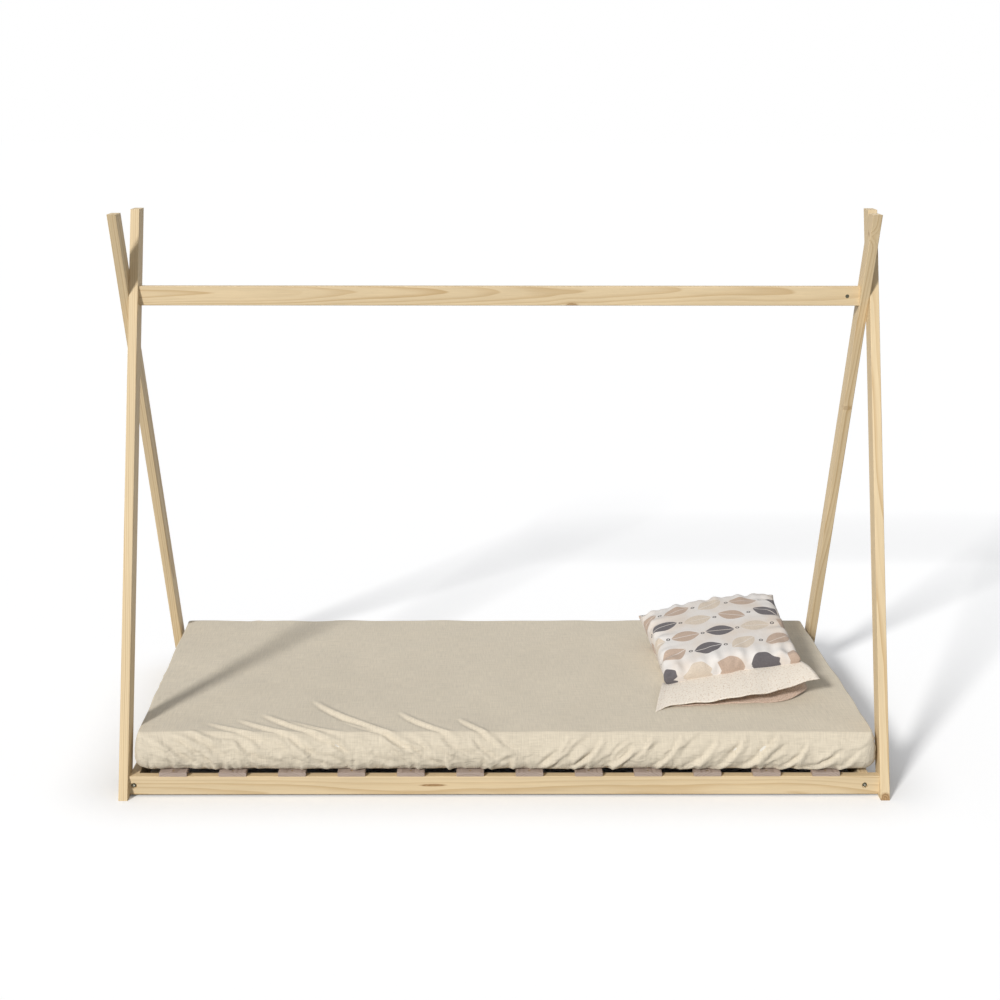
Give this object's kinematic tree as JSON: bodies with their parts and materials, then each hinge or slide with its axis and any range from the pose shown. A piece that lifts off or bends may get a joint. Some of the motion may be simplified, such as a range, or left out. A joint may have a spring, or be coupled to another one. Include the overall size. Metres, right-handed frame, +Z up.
{
  "type": "house bed",
  "caption": "Child's low pine bed in a tipi house frame: crossed end posts joined by a ridge beam, slatted base, sheeted mattress and pillow.",
  "frame": {"origin": "on the floor, midway between the four feet, on the axis of the frame's half-turn symmetry", "axes": "+X along the bed towards the pillow end, +Y from the front to the back, +Z up"},
  "size_m": [1.982, 0.9514, 1.435],
  "materials": {
    "pine": "planed, matt",
    "slat_wood": "planed, untreated",
    "dowel_beech": "turned",
    "zinc_steel": "zinc plated",
    "screw_steel": "yellow passivated",
    "mattress_cover": "woven",
    "linen_sheet": "linen weave",
    "pillow_case": "printed cotton"
  },
  "bodies": {
    "frame": {"left_front_post": "pine", "left_back_post": "pine", "right_front_post": "pine", "right_back_post": "pine", "ridge_beam": "pine", "front_side_rail": "pine", "back_side_rail": "pine", "left_end_rail": "pine", "right_end_rail": "pine", "slat_01": "slat_wood", "slat_02": "slat_wood", "slat_03": "slat_wood", "slat_04": "slat_wood", "slat_05": "slat_wood", "slat_06": "slat_wood", "slat_07": "slat_wood", "slat_08": "slat_wood", "slat_09": "slat_wood", "slat_10": "slat_wood", "slat_11": "slat_wood", "slat_12": "slat_wood", "ridge_bolts": "zinc_steel", "ridge_barrel_nuts": "zinc_steel", "post_bolts": "zinc_steel", "post_barrel_nuts": "zinc_steel", "end_rail_bolts": "zinc_steel", "end_rail_barrel_nuts": "zinc_steel", "dowels": "dowel_beech", "slat_screws": "screw_steel"},
    "mattress_body": {"mattress": "mattress_cover", "fitted_sheet": "linen_sheet"},
    "pillow_body": {"pillow": "pillow_case"}
  },
  "joints": [
    {"name": "mattress_lift", "type": "slide", "parent": "frame", "child": "mattress_body", "axis": [0, 0, 1], "range_m": [0, 0.3]},
    {"name": "pillow_lift", "type": "slide", "parent": "mattress_body", "child": "pillow_body", "axis": [0, 0, 1], "range_m": [0, 0.3]}
  ]
}
